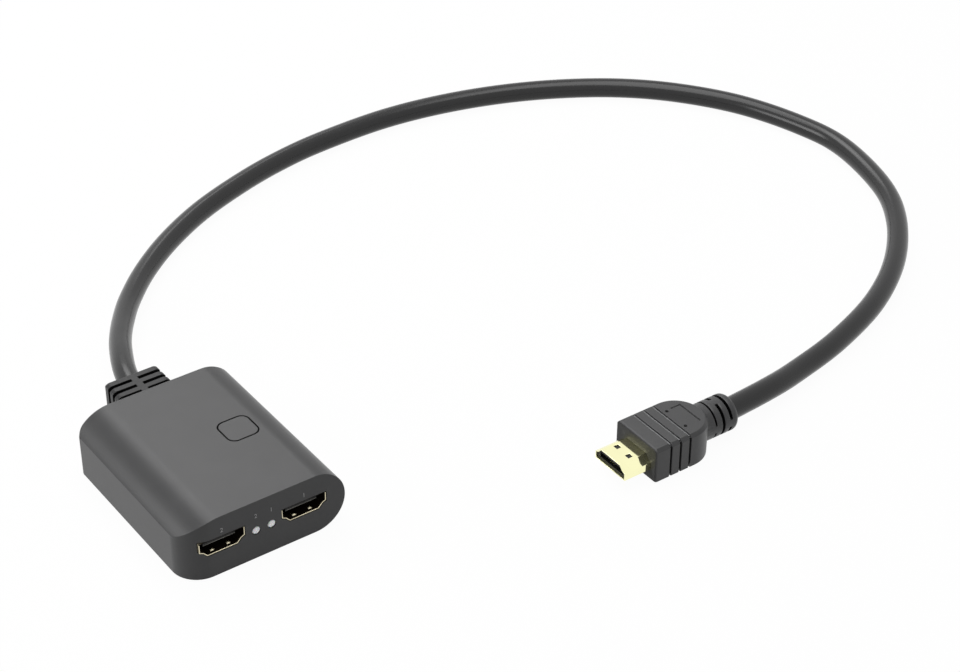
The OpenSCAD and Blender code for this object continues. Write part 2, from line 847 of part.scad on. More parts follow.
module strain_relief() {
    collar_w = neck_w + 2 * collar_margin;
    collar_h = neck_h + 2 * collar_margin;
    color("#4c4d50") difference() {
        union() {
            intersection() {
                translate([0, 0, relief_z]) along_y(rear_y, relief_end_y) relief_section(0);
                linear_extrude(body_h) polygon([
                    [-(relief_w + relief_flare) / 2, rear_y], [(relief_w + relief_flare) / 2, rear_y],
                    [relief_w / 2, relief_end_y], [-relief_w / 2, relief_end_y]]);
            }
            translate([-neck_w / 2, inner_rear_y - cut / 2, relief_z - neck_h / 2]) {
                cube([neck_w, wall + cut, neck_h]);
            }
            translate([-collar_w / 2, inner_rear_y - collar_l, relief_z - collar_h / 2]) {
                cube([collar_w, collar_l, collar_h]);
            }
        }
        for (i = [0 : relief_rows - 1]) {
            mid = relief_end_y - row_from_end - i * relief_pitch;
            translate([0, 0, relief_z]) along_y(mid - slot_w / 2, mid + slot_w / 2) difference() {
                square([2 * relief_w, 2 * relief_h], center = true);
                relief_section(slot_deep);
                square([web_w, 2 * relief_h], center = true);
            }
        }
    }
}

module cable_wires() {
    color("#b8bcc2") for (i = [0 : wire_count - 1]) {
        translate([(i - (wire_count - 1) / 2) * wire_pitch, 0, board_top + wire_d / 2]) {
            along_y(wire_y, inner_rear_y - collar_l) circle(d = wire_d);
        }
    }
}

module cable() {
    color("#55565a") tube(smooth_route(cable_route, cable_steps), cable_d / 2, cable_sides);
}

// Places a piece drawn with the plug's axis along X, the shell pointing to -X and the grip's front at 0
module at_plug() {
    translate(plug_place) children();
}

// Runs a drawing of the plug's section, seen along the axis, from x0 to x1
module along_x(x0, x1, z) {
    translate([x0, 0, z]) rotate([90, 0, 90]) linear_extrude(x1 - x0) children();
}

module plug_shell() {
    color("#efe3a0") at_plug() difference() {
        along_x(-plug_l, plug_root, shell_mid) rotate(180) difference() {
            polygon(mouth_points(plug_w - 2 * shell_t, plug_h - 2 * shell_t, shell_t));
            polygon(mouth_points(plug_w - 2 * shell_t, plug_h - 2 * shell_t, 0));
        }
        for (side = [-1, 1]) {
            translate([-latch_x - latch_w / 2, side * latch_pitch / 2 - latch_w / 2, shell_mid]) {
                cube([latch_w, latch_w, plug_h]);
            }
        }
    }
}

// Open space in the plug that the tongue of a socket goes into
module tongue_slot() {
    deep = plug_l - insulator_recess - slot_floor;
    translate([-plug_l - cut, -tongue_w / 2 - slot_gap, shell_mid - tongue_lift - tongue_t / 2 - slot_gap]) {
        cube([deep + cut, tongue_w + 2 * slot_gap, tongue_t + 2 * slot_gap]);
    }
}

module plug_block() {
    color("#1a1b1d") at_plug() difference() {
        along_x(-plug_l + insulator_recess, insulator_back, shell_mid) rotate(180) {
            polygon(mouth_points(plug_w - 2 * shell_t, plug_h - 2 * shell_t, -core_gap));
        }
        tongue_slot();
        plug_contact_set();
    }
}

module plug_contact_set() {
    for (row = contact_rows, i = [0 : row[0] - 1]) {
        y = (i - (row[0] - 1) / 2) * contact_pitch - contact_w / 2;
        z = shell_mid - tongue_lift + row[1] * (tongue_t / 2 + slot_gap + contact_t / 2) - contact_t / 2;
        x = -plug_l + insulator_recess + plug_contact_tip;
        translate([x, y, z]) cube([insulator_back - x, contact_w, contact_t]);
    }
}

module plug_contacts() {
    color("#e3c766") at_plug() plug_contact_set();
}

// Hard inner moulding round the soldered ends of the wires
module core_block(gap) {
    translate([insulator_back - gap, -core_w / 2 - gap, grip_mid - core_h / 2 - gap]) {
        cube([core_l + 2 * gap, core_w + 2 * gap, core_h + 2 * gap]);
    }
}

module plug_core() {
    color("#cfd2d6") at_plug() core_block(0);
}

module grip_section() {
    half = grip_w / 2;
    polygon([[-half, grip_foot], [grip_foot - half, 0], [half - grip_foot, 0], [half, grip_foot],
             [half, grip_h - grip_edge], [half - grip_edge, grip_h], [grip_edge - half, grip_h],
             [-half, grip_h - grip_edge]]);
}

// Half section of the tail: distance from the axis, then distance along it
module tail_section(l) {
    polygon([[0, 0], [tail_d / 2, 0], [tail_end_d / 2, l - tail_round], [0, l - tail_round]]);
    translate([0, l - tail_round - cut]) square([tail_end_d / 2 - tail_round, tail_round + cut]);
    translate([tail_end_d / 2 - tail_round, l - tail_round]) circle(tail_round);
}

module grip_body() {
    along_x(0, grip_l, 0) grip_section();
    translate([grip_l, 0, 0]) rotate_extrude() intersection() {
        grip_section();
        translate([0, -cut]) square([grip_w, grip_h + 2 * cut]);
    }
    translate([grip_l, 0, grip_mid]) rotate([0, 90, 0]) rotate_extrude() tail_section(tail_x - grip_l);
}

// Ring cut of width w round the tail, parted by two webs that are turned from row to row
module tail_slot(x, w, turn) {
    translate([x, 0, grip_mid]) rotate([turn, 0, 0]) difference() {
        translate([-w / 2, -tail_d, -tail_d]) cube([w, 2 * tail_d, 2 * tail_d]);
        translate([-w, 0, 0]) rotate([0, 90, 0]) cylinder(d = tail_core_d, h = 2 * w);
        translate([-w, -tail_d - cut, -tail_web_w / 2]) cube([2 * w, 2 * (tail_d + cut), tail_web_w]);
    }
}

module grip_grooves() {
    for (i = [0 : groove_count - 1]) {
        x = groove_x + i * groove_pitch;
        along_x(x - groove_w / 2, x + groove_w / 2, 0) difference() {
            translate([-grip_w, -cut]) square([2 * grip_w, grip_h + 2 * cut]);
            translate([0, grip_mid]) {
                square([grip_w - 2 * groove_deep, grip_h - 2 * grip_edge], center = true);
                square([grip_w - 2 * grip_edge, grip_h - 2 * groove_deep], center = true);
            }
        }
    }
}

// Two dots and an angled line moulded into the top of the grip
module grip_marks() {
    translate([0, mark_shift, grip_h - mark_deep]) linear_extrude(grip_h) {
        for (side = [-1, 1]) {
            translate([dot_x, side * dot_pitch / 2]) circle(d = dot_d);
        }
        translate([line_x, line_y - line_w / 2]) square([line_l, line_w]);
        translate([line_x + line_l - line_w, -line_y]) square([line_w, 2 * line_y]);
    }
}

module plug_grip() {
    color("#4a4b4d") at_plug() difference() {
        grip_body();
        grip_grooves();
        grip_marks();
        for (i = [0 : len(tail_slots) - 1]) {
            tail_slot(tail_x - tail_row_margin - i * tail_row_pitch, tail_slots[i], 90 * (i % 2));
        }
        along_x(-cut, plug_root, shell_mid) rotate(180) {
            polygon(mouth_points(plug_w - 2 * shell_t, plug_h - 2 * shell_t, shell_t + core_gap));
        }
        along_x(-cut, insulator_back, shell_mid) rotate(180) {
            polygon(mouth_points(plug_w - 2 * shell_t, plug_h - 2 * shell_t, 0));
        }
        core_block(core_gap);
    }
}

top_cover();
bottom_cover();
housing_screws();
circuit_board();
select_button();
switch_base();
switch_plate();
switch_plunger();
switch_dome();
switch_terminals();
light_lens_1();
light_lens_2();
light_sources();
socket_1_shell();
socket_1_block();
socket_1_contacts();
socket_2_shell();
socket_2_block();
socket_2_contacts();
switch_chip();
power_regulator();
clock_crystal();
capacitors();
resistors();
strain_relief();
cable_wires();
cable();
plug_shell();
plug_block();
plug_contacts();
plug_core();
plug_grip();
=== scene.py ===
import math

import bmesh
import bpy
from bpy.props import FloatProperty, FloatVectorProperty, PointerProperty
from mathutils import Matrix, Vector


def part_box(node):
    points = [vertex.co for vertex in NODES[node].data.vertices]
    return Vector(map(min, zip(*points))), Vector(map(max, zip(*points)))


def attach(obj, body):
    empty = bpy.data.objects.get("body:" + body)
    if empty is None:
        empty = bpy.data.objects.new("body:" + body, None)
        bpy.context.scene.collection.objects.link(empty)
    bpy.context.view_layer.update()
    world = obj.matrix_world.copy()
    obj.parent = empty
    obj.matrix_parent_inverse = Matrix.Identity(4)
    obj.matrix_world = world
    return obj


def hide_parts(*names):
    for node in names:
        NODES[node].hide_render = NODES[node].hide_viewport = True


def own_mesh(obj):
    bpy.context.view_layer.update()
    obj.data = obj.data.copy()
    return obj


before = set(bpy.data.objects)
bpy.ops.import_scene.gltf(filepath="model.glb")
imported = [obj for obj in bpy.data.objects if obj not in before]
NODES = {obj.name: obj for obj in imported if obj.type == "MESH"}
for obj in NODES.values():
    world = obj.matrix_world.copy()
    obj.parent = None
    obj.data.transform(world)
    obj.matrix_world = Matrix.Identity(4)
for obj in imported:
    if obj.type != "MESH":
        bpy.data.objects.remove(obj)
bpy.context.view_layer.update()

bl_info = {
    "name": "Video Switch Box",
    "version": (1, 0, 0),
    "blender": (4, 5, 0),
    "location": "View3D > Sidebar > Switch Box",
    "description": "Dresses the packed model of a two-input switch box with a captive cable",
    "category": "Object",
}

MM = 0.001

# Route of the cable in millimetres, from the point of the table under the strain relief's end
EXIT_MM = (0.0, 46.5, 0.0)
LIE = 3.65
ROUTE_MM = (
    (-0.5, -5, 11), (0, 0, 11), (2, 8, 10.9), (5.5, 17, 10), (10.5, 27.5, 8.3), (17.5, 39, 6.3),
    (26, 50.5, 4.8), (38.5, 63.5, 3.9), (54, 75.5, LIE), (72.5, 86, LIE), (93, 94, LIE),
    (111, 99, LIE), (130, 102, LIE), (157, 103, LIE), (181, 100, LIE), (204, 93.5, LIE),
    (225, 84, LIE), (244, 71.5, LIE), (259.5, 56, LIE), (272.5, 36, LIE), (280.5, 12.5, LIE),
    (282.5, -8.5, LIE), (275.5, -36, LIE), (264, -55.5, LIE), (246, -73.5, LIE),
    (224, -87.5, LIE), (199, -97, LIE), (176.5, -102.5, 4.1), (162, -105.5, 5.2),
    (144.1, -107.5, 6), (139.1, -108, 6),
)

# Camera of the photograph, in metres, with its lens in millimetres
CAMERA_PLACE = (-0.240509, -0.471797, 0.424165)
CAMERA_RIGHT = (0.81571, -0.57845, 0.00345)
CAMERA_UP = (0.32989, 0.47009, 0.81865)
CAMERA_AHEAD = (0.47517, 0.66664, -0.57428)
CAMERA_SENSOR = 36.0
CAMERA_LENS = 86.615

# Floor: half its width, and how far it lies under the object
FLOOR_REACH = 6.0
FLOOR_GAP = 0.2 * MM

# Points this close are one, in a copy of a CAD node and in a new shape
NODE_MERGE = 1e-6
SHAPE_MERGE = 1e-7
# Faces that turn by less are joined, and edges that turn by more can be rounded
FLAT_TURN = math.radians(0.5)
SHARP_TURN = math.radians(20)
# A face or an edge points along an axis where its direction has this share along it
ALONG = 0.9

# Strain relief: its corners, how much narrower each side gets, where its slots lie, and how far
# in a slot's painted shade begins
RELIEF_CORNER = 2.2 * MM
RELIEF_TAPER = 0.6 * MM
RELIEF_SLOTS = (0.05, 0.97)
RELIEF_SKIN = 0.3 * MM

# Plug's grip, along its length from the front face
GRIP_FACE = 0.1 * MM
GRIP_RIM = 1.5 * MM
GRIP_GROOVES = 13.9 * MM
GRIP_LONG = 20 * MM
GRIP_MARK = 22 * MM
GRIP_TAIL = 25 * MM
# Depths under its top and its sides of the grip's faces with painted light: highlight in top
# grooves, shade in side grooves and marks
GROOVE_IN_TOP = (0.1 * MM, 0.6 * MM)
GROOVE_IN_SIDE = (0.3 * MM, 0.7 * MM)
MARK_IN_TOP = (0.3 * MM, 0.6 * MM)
# Share of the grip's width or height past which an edge of the front face lies on its outline
GRIP_OUTLINE = 0.4
# How far in from the top and the sides the grip's long edges lie at most
LONG_UNDER_TOP = 0.05 * MM
LONG_IN_SIDE = 0.4 * MM
# Tail of the grip: its plain end, and the distances from its axis between which its slots lie,
# which get painted shade
TAIL_END = 2 * MM
TAIL_SLOTS = (1 * MM, 5 * MM)
# Finishes of the grip in the order of its material slots: painted shade in recesses, on the
# front, painted highlight in grooves
GRIP_SHADED, GRIP_FRONT_SHADE, GRIP_RIB_HIGHLIGHT = 1, 2, 3

# Covers: depth of the rear edge, and the heights and sides between which it is rounded
COVER_REAR = 2.6 * MM
COVER_TOP = 15.5 * MM
COVER_RIGHT = 10 * MM
COVER_LEFT = -20 * MM
COVER_CREASE = 13.6 * MM

# Sockets: height of the mouth, roundings of the rim and the tongue, and reach of their fronts
MOUTH_HEIGHT = 4.55 * MM
RIM_EDGE = 0.12 * MM
RIM_DEPTH = 0.3 * MM
TONGUE_EDGE = 0.08 * MM
# Painted highlight on a tongue: how far behind its front, how high over its lower edge and how
# far either side of its middle
TONGUE_FACE = 0.1 * MM
TONGUE_LIP = 0.3 * MM
TONGUE_HALF = 5 * MM
FRONT_REACH = 0.01 * MM
# Springs in the floor of a socket: heights over the floor, and half of the width they lie in
SPRING_HEIGHTS = (0.02 * MM, 0.6 * MM)
SPRING_HALF = 3.6 * MM
# Cut and painted-shade strip under the roof of a socket's mouth
ROOF_CUT = 0.01 * MM
ROOF_STRIP = 0.02 * MM

PLUG_SHELL_EDGE = 0.06 * MM

# Light guides: width and thickness of the collar, and height of the domed front
GUIDE_COLLAR = 0.5 * MM
GUIDE_FLANGE = 0.8 * MM
GUIDE_CROWN = 0.45 * MM

# Numbers: heights over the table, a figure's share of the type size, and thickness of the ink
LIGHT_NUMBER_LEVEL = 14.3 * MM
SOCKET_NUMBER_LEVEL = 14.4 * MM
FIGURE_SHARE = 0.7
INK_DEPTH = 0.01 * MM


# Materials

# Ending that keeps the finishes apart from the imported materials
FINISH = "_finish"
# Part of a noise over which a finish goes from one end of its range to the other
PATTERN = (0.3, 0.7)


def new_material(name):
    """An empty material: its nodes, its shader and its Object coordinates."""
    material = bpy.data.materials.new(name + FINISH)
    material.use_nodes = True
    tree = material.node_tree
    tree.nodes.clear()
    output = tree.nodes.new("ShaderNodeOutputMaterial")
    shader = tree.nodes.new("ShaderNodeBsdfPrincipled")
    tree.links.new(shader.outputs["BSDF"], output.inputs["Surface"])
    place = tree.nodes.new("ShaderNodeTexCoord").outputs["Object"]
    return tree, shader, place


def finish(name):
    """The finish of that name."""
    return bpy.data.materials[name + FINISH]


def noise(tree, place, scale, detail=2.0, stretch=None):
    """Noise on the piece's own coordinates, drawn out along an axis where stretch says so."""
    if stretch:
        mapping = tree.nodes.new("ShaderNodeMapping")
        mapping.inputs["Scale"].default_value = stretch
        tree.links.new(place, mapping.inputs["Vector"])
        place = mapping.outputs["Vector"]
    node = tree.nodes.new("ShaderNodeTexNoise")
    node.inputs["Scale"].default_value = scale
    node.inputs["Detail"].default_value = detail
    tree.links.new(place, node.inputs["Vector"])
    return node.outputs["Fac"]


def blend_colours(tree, share, dark, light):
    """Colour that runs from dark to light over the middle of a pattern."""
    ramp = tree.nodes.new("ShaderNodeValToRGB")
    for element, position, colour in zip(ramp.color_ramp.elements, PATTERN, (dark, light)):
        element.position = position
        element.color = (*colour, 1.0)
    tree.links.new(share, ramp.inputs["Fac"])
    return ramp.outputs["Color"]


def spread(tree, share, low, high):
    """Numbers from low to high that follow a pattern."""
    node = tree.nodes.new("ShaderNodeMapRange")
    node.inputs["From Min"].default_value, node.inputs["From Max"].default_value = PATTERN
    node.inputs["To Min"].default_value = low
    node.inputs["To Max"].default_value = high
    tree.links.new(share, node.inputs["Value"])
    return node.outputs["Result"]


def bump(tree, height, strength, distance):
    """Normals that follow a pattern's height."""
    node = tree.nodes.new("ShaderNodeBump")
    node.inputs["Strength"].default_value = strength
    node.inputs["Distance"].default_value = distance
    tree.links.new(height, node.inputs["Height"])
    return node.outputs["Normal"]


def shade(colour, factor):
    """A colour made darker or lighter by a factor."""
    return tuple(min(1.0, c * factor) for c in colour[:3])


def moulded(name, colour, roughness, specular, grain, depth=0.012 * MM, swing=0.06):
    """Moulded plastic or vinyl: cloudy colour, a fine eroded grain and an uneven sheen."""
    tree, shader, place = new_material(name)
    cloud = noise(tree, place, scale=90.0, detail=3.0)
    fine = noise(tree, place, scale=grain)
    tint = blend_colours(tree, cloud, shade(colour, 1 - swing), shade(colour, 1 + swing))
    sheen = spread(tree, fine, roughness - 0.05, roughness + 0.05)
    relief = bump(tree, fine, strength=0.25, distance=depth)
    tree.links.new(tint, shader.inputs["Base Color"])
    tree.links.new(sheen, shader.inputs["Roughness"])
    tree.links.new(relief, shader.inputs["Normal"])
    shader.inputs["Specular IOR Level"].default_value = specular


def plated(name, dark, light, roughness, stretch=(1.0, 1.0, 1.0)):
    """Plated or drawn metal with fine lines along its drawing direction."""
    tree, shader, place = new_material(name)
    lines = noise(tree, place, scale=1500.0, detail=3.0, stretch=stretch)
    cloud = noise(tree, place, scale=120.0)
    tint = blend_colours(tree, cloud, dark, light)
    sheen = spread(tree, lines, roughness * 0.8, roughness * 1.2)
    relief = bump(tree, lines, strength=0.04, distance=0.002 * MM)
    tree.links.new(tint, shader.inputs["Base Color"])
    tree.links.new(sheen, shader.inputs["Roughness"])
    tree.links.new(relief, shader.inputs["Normal"])
    shader.inputs["Metallic"].default_value = 1.0


def milky(name, colour, roughness):
    """Translucent light guide: pale, smooth, and a little deep."""
    tree, shader, place = new_material(name)
    cloud = noise(tree, place, scale=700.0)
    tint = blend_colours(tree, cloud, shade(colour, 0.94), shade(colour, 1.05))
    sheen = spread(tree, cloud, roughness - 0.04, roughness + 0.04)
    tree.links.new(tint, shader.inputs["Base Color"])
    tree.links.new(sheen, shader.inputs["Roughness"])
    shader.inputs["Subsurface Weight"].default_value = 0.15
    shader.inputs["Subsurface Scale"].default_value = 0.6 * MM


def laminate(name, colour, copper):
    """Board with solder mask over faint copper tracks."""
    tree, shader, place = new_material(name)
    cells = tree.nodes.new("ShaderNodeTexVoronoi")
    cells.distance = "MANHATTAN"
    cells.inputs["Scale"].default_value = 420.0
    tree.links.new(place, cells.inputs["Vector"])
    tracks = cells.outputs["Distance"]
    tint = blend_colours(tree, tracks, colour, copper)
    sheen = spread(tree, noise(tree, place, scale=300.0), 0.25, 0.35)
    relief = bump(tree, tracks, strength=0.1, distance=0.01 * MM)
    tree.links.new(tint, shader.inputs["Base Color"])
    tree.links.new(sheen, shader.inputs["Roughness"])
    tree.links.new(relief, shader.inputs["Normal"])


# Shapes

def within(value, limits):
    """True where a value lies between two limits."""
    return limits[0] < value < limits[1]


def convex(edge, place):
    """True for an outer edge."""
    return edge.is_convex


def finish_piece(mesh, name, finishes, body, slot, *nodes):
    """Makes a mesh a piece of the object, which rides on a body and stands for CAD nodes."""
    for polygon in mesh.polygons:
        polygon.use_smooth = True
    for item in finishes:
        mesh.materials.append(finish(item))
    piece = bpy.data.objects.new(name, mesh)
    bpy.context.scene.collection.objects.link(piece)
    weighted = piece.modifiers.new("flat_faces", "WEIGHTED_NORMAL")
    weighted.keep_sharp = True
    weighted.weight = 80
    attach(piece, body)
    if nodes:
        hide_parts(*nodes)
    return piece


def dressed(node, edge_sets, deep=None, level=None):
    """A merged copy of a CAD node with its sharp edges rounded.

    Each edge set is a radius and a test of an edge. The test deep gives the number of a face's
    finish, by which painted shade and painted highlights are put on faces, and a cut at a level
    can part the faces for it.
    """
    shape = bmesh.new()
    shape.from_mesh(NODES[node].data)
    bmesh.ops.remove_doubles(shape, verts=shape.verts, dist=NODE_MERGE)
    bmesh.ops.dissolve_limit(
        shape, angle_limit=FLAT_TURN, verts=shape.verts, edges=shape.edges, delimit=set())
    for radius, test in edge_sets:
        edges = [e for e in shape.edges if len(e.link_faces) == 2]
        edges = [e for e in edges if e.calc_face_angle() > SHARP_TURN]
        edges = [e for e in edges if test(e, (e.verts[0].co + e.verts[1].co) / 2)]
        if not edges:
            raise RuntimeError(f"{node} has no edges to round at {radius}")
        bmesh.ops.bevel(
            shape, geom=edges, offset=radius, offset_type="OFFSET", affect="EDGES", segments=2,
            profile=0.5, material=-1, clamp_overlap=False)
    if level is not None:
        bmesh.ops.bisect_plane(
            shape, geom=[*shape.verts, *shape.edges, *shape.faces], dist=SHAPE_MERGE,
            plane_co=(0, 0, level), plane_no=(0, 0, 1))
    for face in shape.faces:
        face.material_index = int(deep(face, face.calc_center_median())) if deep else 0
    mesh = bpy.data.meshes.new(node)
    shape.to_mesh(mesh)
    shape.free()
    return mesh


def spun(profile, start, axis, steps=48):
    """A closed solid of revolution from (radius, distance along the axis) pairs."""
    shape = bmesh.new()
    axis = Vector(axis).normalized()
    side = axis.orthogonal().normalized()
    points = [shape.verts.new(Vector(start) + side * r + axis * d) for r, d in profile]
    edges = [shape.edges.new(pair) for pair in zip(points, points[1:])]
    bmesh.ops.spin(
        shape, geom=points + edges, cent=start, axis=axis, angle=math.tau, steps=steps,
        use_merge=True)
    bmesh.ops.remove_doubles(shape, verts=shape.verts, dist=SHAPE_MERGE)
    bmesh.ops.recalc_face_normals(shape, faces=shape.faces)
    mesh = bpy.data.meshes.new("spun")
    shape.to_mesh(mesh)
    shape.free()
    return mesh


def paint(name, *nodes):
    """Gives CAD nodes that keep their shape a better finish."""
    for node in nodes:
        NODES[node].data.materials.clear()
        NODES[node].data.materials.append(finish(name))


# Settings

class SwitchBoxSettings(bpy.types.PropertyGroup):
    housing_colour: FloatVectorProperty(
        name="Housing colour", description="Colour of the covers",
        subtype="COLOR", size=3, min=0, max=1, default=(0.04, 0.04, 0.0408))
    vinyl_colour: FloatVectorProperty(
        name="Vinyl colour", description="Colour of the cable and its mouldings",
        subtype="COLOR", size=3, min=0, max=1, default=(0.026, 0.026, 0.0268))
    gold_colour: FloatVectorProperty(
        name="Plating colour", description="Colour of the plug's plated shell and the contacts",
        subtype="COLOR", size=3, min=0, max=1, default=(0.97, 0.95, 0.58))
    ink_colour: FloatVectorProperty(
        name="Ink colour", description="Colour of the printed numbers",
        subtype="COLOR", size=3, min=0, max=1, default=(0.3, 0.3, 0.3))
    cable_diameter: FloatProperty(
        name="Cable diameter", description="Outer diameter of the cable",
        unit="LENGTH", subtype="DISTANCE", default=0.0072)
    housing_edge: FloatProperty(
        name="Housing edge", description="Radius of the rear edges of the covers",
        unit="LENGTH", subtype="DISTANCE", default=0.0008)
    hole_edge: FloatProperty(
        name="Hole edge", description="Radius of the edges of holes and slots",
        unit="LENGTH", subtype="DISTANCE", default=0.0001)
    grip_edge: FloatProperty(
        name="Grip edge", description="Radius of the front and long edges of the plug's grip",
        unit="LENGTH", subtype="DISTANCE", default=0.0006)
    light_number: FloatProperty(
        name="Light number height", description="Height of the numbers over the lights",
        unit="LENGTH", subtype="DISTANCE", default=0.0014)
    socket_number: FloatProperty(
        name="Socket number height", description="Height of the numbers over the sockets",
        unit="LENGTH", subtype="DISTANCE", default=0.0015)


class SwitchBoxStage(bpy.types.PropertyGroup):
    floor_colour: FloatVectorProperty(
        name="Floor colour", description="Colour of the floor under the object",
        subtype="COLOR", size=3, min=0, max=1, default=(0.72, 0.72, 0.72))
    floor_glow: FloatProperty(
        name="Floor white", description="Share of plain white in the floor as the camera sees it",
        subtype="FACTOR", min=0, max=1, default=0.96)
    room_level: FloatProperty(
        name="Room level", description="Strength of the soft light from all sides", default=0.3)
    rear_power: FloatProperty(
        name="Rear power", description="Power of the softbox behind", default=1.65)
    high_power: FloatProperty(
        name="High power", description="Power of the higher softbox behind", default=1.2)
    top_power: FloatProperty(
        name="Top power", description="Power of the overhead softbox", default=12.0)
    left_power: FloatProperty(
        name="Left power", description="Power of the softbox on the left", default=5.5)


# Operators

class SWITCHBOX_OT_stage(bpy.types.Operator):
    """Makes the floor, the world, the lamps and the camera"""
    bl_idname = "switchbox.stage"
    bl_label = "Stage"

    def execute(self, context):
        settings = context.scene.switchbox_stage
        context.scene.view_settings.view_transform = "Standard"
        self.floor(context, settings)
        self.world(context, settings)
        self.lamp(
            context, "rear_softbox", place=(0.24, 0.65, 0.66), target=(0.0, 0.0, 0.02),
            size=(0.5, 0.4), power=settings.rear_power)
        self.lamp(
            context, "high_softbox", place=(0.1, 0.7, 0.8), target=(0.0, 0.0, 0.02),
            size=(0.5, 0.4), power=settings.high_power)
        self.lamp(
            context, "top_softbox", place=(0.05, 0.1, 1.2), target=(0.05, 0.05, 0.0),
            size=(1.1, 1.1), power=settings.top_power)
        self.lamp(
            context, "left_softbox", place=(-0.9, 0.45, 0.4), target=(0.0, 0.0, 0.01),
            size=(0.7, 0.5), power=settings.left_power)
        self.camera(context)
        return {"FINISHED"}

    def seen(self, tree):
        """Share that is one for camera, glossy and transmission rays."""
        path = tree.nodes.new("ShaderNodeLightPath")
        first = tree.nodes.new("ShaderNodeMath")
        second = tree.nodes.new("ShaderNodeMath")
        second.use_clamp = True
        tree.links.new(path.outputs["Is Camera Ray"], first.inputs[0])
        tree.links.new(path.outputs["Is Glossy Ray"], first.inputs[1])
        tree.links.new(first.outputs[0], second.inputs[0])
        tree.links.new(path.outputs["Is Transmission Ray"], second.inputs[1])
        return second.outputs[0]

    def floor(self, context, settings):
        """A pale floor that keeps a trace of the object's shadow."""
        shape = bmesh.new()
        bmesh.ops.create_grid(shape, x_segments=8, y_segments=8, size=FLOOR_REACH)
        bmesh.ops.translate(shape, verts=shape.verts, vec=(0, 0, -FLOOR_GAP))
        mesh = bpy.data.meshes.new("floor")
        shape.to_mesh(mesh)
        shape.free()
        floor = bpy.data.objects.new("floor", mesh)
        context.scene.collection.objects.link(floor)
        material = bpy.data.materials.new("floor_white")
        material.use_nodes = True
        tree = material.node_tree
        tree.nodes.clear()
        diffuse = tree.nodes.new("ShaderNodeBsdfDiffuse")
        diffuse.inputs["Color"].default_value = (*settings.floor_colour, 1.0)
        glow = tree.nodes.new("ShaderNodeEmission")
        share = tree.nodes.new("ShaderNodeMath")
        share.operation = "MULTIPLY"
        share.inputs[1].default_value = settings.floor_glow
        tree.links.new(self.seen(tree), share.inputs[0])
        mix = tree.nodes.new("ShaderNodeMixShader")
        tree.links.new(share.outputs[0], mix.inputs["Fac"])
        tree.links.new(diffuse.outputs[0], mix.inputs[1])
        tree.links.new(glow.outputs[0], mix.inputs[2])
        output = tree.nodes.new("ShaderNodeOutputMaterial")
        tree.links.new(mix.outputs[0], output.inputs["Surface"])
        mesh.materials.append(material)

    def world(self, context, settings):
        """Soft light from all sides, which is seen as plain white."""
        world = bpy.data.worlds.new("studio")
        world.use_nodes = True
        tree = world.node_tree
        tree.nodes.clear()
        room = tree.nodes.new("ShaderNodeBackground")
        room.inputs["Strength"].default_value = settings.room_level
        white = tree.nodes.new("ShaderNodeBackground")
        for node in (room, white):
            node.inputs["Color"].default_value = (1, 1, 1, 1)
        mix = tree.nodes.new("ShaderNodeMixShader")
        tree.links.new(self.seen(tree), mix.inputs["Fac"])
        tree.links.new(room.outputs[0], mix.inputs[1])
        tree.links.new(white.outputs[0], mix.inputs[2])
        output = tree.nodes.new("ShaderNodeOutputWorld")
        tree.links.new(mix.outputs[0], output.inputs["Surface"])
        context.scene.world = world

    def lamp(self, context, name, place, target, size, power):
        """A softbox that points at a target."""
        light = bpy.data.lights.new(name, "AREA")
        light.shape = "RECTANGLE"
        light.size, light.size_y = size
        light.energy = power
        lamp = bpy.data.objects.new(name, light)
        lamp.location = place
        ahead = Vector(target) - Vector(place)
        lamp.rotation_euler = ahead.to_track_quat("-Z", "Y").to_euler()
        lamp.visible_camera = False
        context.scene.collection.objects.link(lamp)

    def camera(self, context):
        """The camera where the photograph was taken."""
        data = bpy.data.cameras.new("camera")
        data.sensor_fit = "HORIZONTAL"
        data.sensor_width = CAMERA_SENSOR
        data.lens = CAMERA_LENS
        data.clip_start = 0.01
        camera = bpy.data.objects.new("camera", data)
        turn = Matrix((CAMERA_RIGHT, CAMERA_UP, -Vector(CAMERA_AHEAD))).transposed()
        camera.matrix_world = Matrix.Translation(CAMERA_PLACE) @ turn.to_4x4()
        context.scene.collection.objects.link(camera)
        context.scene.camera = camera


